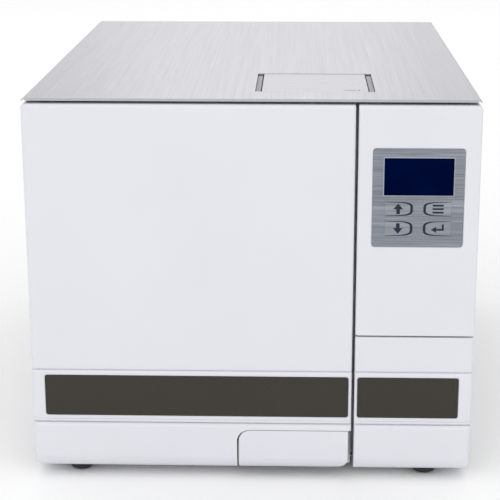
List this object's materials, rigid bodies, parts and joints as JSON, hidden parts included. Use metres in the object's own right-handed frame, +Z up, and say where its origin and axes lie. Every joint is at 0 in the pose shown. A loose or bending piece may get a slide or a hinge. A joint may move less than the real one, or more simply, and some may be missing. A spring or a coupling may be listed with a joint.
{
  "type": "benchtop autoclave",
  "caption": "Benchtop steam autoclave: brushed steel casing, hinged white front door with lever, control column with display and keys, service door and top tank lid.",
  "frame": {"origin": "middle of the footprint, on the surface that the feet stand on", "axes": "+Z up, the front with the door faces -Y, +X to the right seen from the front"},
  "size_m": [0.483, 0.62, 0.424],
  "materials": {
    "brushed_steel": "brushed along the depth",
    "polished_steel": "polished stainless steel",
    "condenser_fins": "bare fins",
    "zinc_plate": "dull zinc plate",
    "white_plastic": "satin white, very slightly blue",
    "smoked_plastic": "smoked, glossy",
    "panel_metal": "blue-grey satin metal",
    "screen": "dark navy glossy window",
    "black_rubber": "matt",
    "silicone": "matt",
    "insulation": "needled felt",
    "brass": "turned",
    "black_plastic": "fine texture",
    "tank_plastic": "natural moulding",
    "circuit_board": "solder mask",
    "motor_paint": "satin paint"
  },
  "bodies": {
    "root": {"outer_casing": "brushed_steel", "hinge_bracket": "brushed_steel", "service_hinge": "brushed_steel", "chamber_vessel": "polished_steel", "steam_generator": "polished_steel", "steam_pipe": "polished_steel", "tray_rack": "polished_steel", "tray_lower": "polished_steel", "tray_middle": "polished_steel", "tray_upper": "polished_steel", "hinge_pin": "polished_steel", "side_screw_left_upper": "polished_steel", "side_screw_left_lower": "polished_steel", "side_screw_right_upper": "polished_steel", "side_screw_right_lower": "polished_steel", "condenser_core": "condenser_fins", "base_tray": "zinc_plate", "front_frame": "zinc_plate", "back_panel": "zinc_plate", "chamber_cradle": "zinc_plate", "lock_solenoid": "zinc_plate", "service_panel": "zinc_plate", "control_fascia": "white_plastic", "air_filter": "white_plastic", "display_plate": "panel_metal", "display_module": "screen", "foot_front_left": "black_rubber", "foot_front_right": "black_rubber", "foot_rear_left": "black_rubber", "foot_rear_right": "black_rubber", "insulation_jacket": "insulation", "heater_band": "brass", "safety_valve": "brass", "drain_tap_clean": "brass", "drain_tap_waste": "brass", "lid_collar": "black_plastic", "fan_housing": "black_plastic", "mains_inlet": "black_plastic", "water_tank": "tank_plastic", "control_board": "circuit_board", "main_board": "circuit_board", "vacuum_pump": "motor_paint"},
    "door": {"door_cover": "white_plastic", "door_strip": "smoked_plastic", "door_back_plate": "brushed_steel", "pressure_plate": "polished_steel", "door_seal": "silicone"},
    "lever": {"door_lever": "white_plastic"},
    "lock_pin": {"lock_pin": "polished_steel"},
    "service_door": {"service_door": "white_plastic", "service_strip": "smoked_plastic"},
    "key_up": {"key_up": "panel_metal"},
    "key_menu": {"key_menu": "panel_metal"},
    "key_down": {"key_down": "panel_metal"},
    "key_enter": {"key_enter": "panel_metal"},
    "tank_lid": {"tank_lid": "brushed_steel"},
    "fan_rotor": {"fan_rotor": "black_plastic"},
    "drain_knob_clean": {"drain_knob_clean": "black_plastic"},
    "drain_knob_waste": {"drain_knob_waste": "black_plastic"},
    "power_rocker": {"power_rocker": "black_plastic"}
  },
  "joints": [
    {"name": "door_hinge", "type": "hinge", "parent": "root", "child": "door", "pos_m": [-0.2315, -0.2745, 0.2], "axis": [0, 0, -1], "range_deg": [0, 100]},
    {"name": "lever_turn", "type": "hinge", "parent": "door", "child": "lever", "pos_m": [-0.0095, -0.3065, 0.035], "axis": [0, 0, -1], "range_deg": [0, 35], "stiffness_Nm_per_rad": 0.2},
    {"name": "lock_slide", "type": "slide", "parent": "root", "child": "lock_pin", "axis": [-1, 0, 0], "range_m": [0, 0.01], "stiffness_N_per_m": 200},
    {"name": "service_door_hinge", "type": "hinge", "parent": "root", "child": "service_door", "pos_m": [0.2315, -0.2745, 0.09], "axis": [0, 0, 1], "range_deg": [0, 100]},
    {"name": "key_up_press", "type": "slide", "parent": "root", "child": "key_up", "axis": [0, 1, 0], "range_m": [0, 0.001], "stiffness_N_per_m": 600},
    {"name": "key_menu_press", "type": "slide", "parent": "root", "child": "key_menu", "axis": [0, 1, 0], "range_m": [0, 0.001], "stiffness_N_per_m": 600},
    {"name": "key_down_press", "type": "slide", "parent": "root", "child": "key_down", "axis": [0, 1, 0], "range_m": [0, 0.001], "stiffness_N_per_m": 600},
    {"name": "key_enter_press", "type": "slide", "parent": "root", "child": "key_enter", "axis": [0, 1, 0], "range_m": [0, 0.001], "stiffness_N_per_m": 600},
    {"name": "lid_lift", "type": "slide", "parent": "root", "child": "tank_lid", "axis": [0, 0, 1], "range_m": [0, 0.06]},
    {"name": "fan_spin", "type": "hinge", "parent": "root", "child": "fan_rotor", "pos_m": [-0.155, 0.29265, 0.26], "axis": [0, 1, 0], "continuous": true},
    {"name": "drain_clean_turn", "type": "hinge", "parent": "root", "child": "drain_knob_clean", "pos_m": [0.147, -0.2873, 0.06], "axis": [0, -1, 0], "range_deg": [0, 90]},
    {"name": "drain_waste_turn", "type": "hinge", "parent": "root", "child": "drain_knob_waste", "pos_m": [0.187, -0.2873, 0.06], "axis": [0, -1, 0], "range_deg": [0, 90]},
    {"name": "power_rocker_tilt", "type": "hinge", "parent": "root", "child": "power_rocker", "pos_m": [0.147, -0.2607, 0.118], "axis": [-1, 0, 0], "range_deg": [0, 12]}
  ]
}
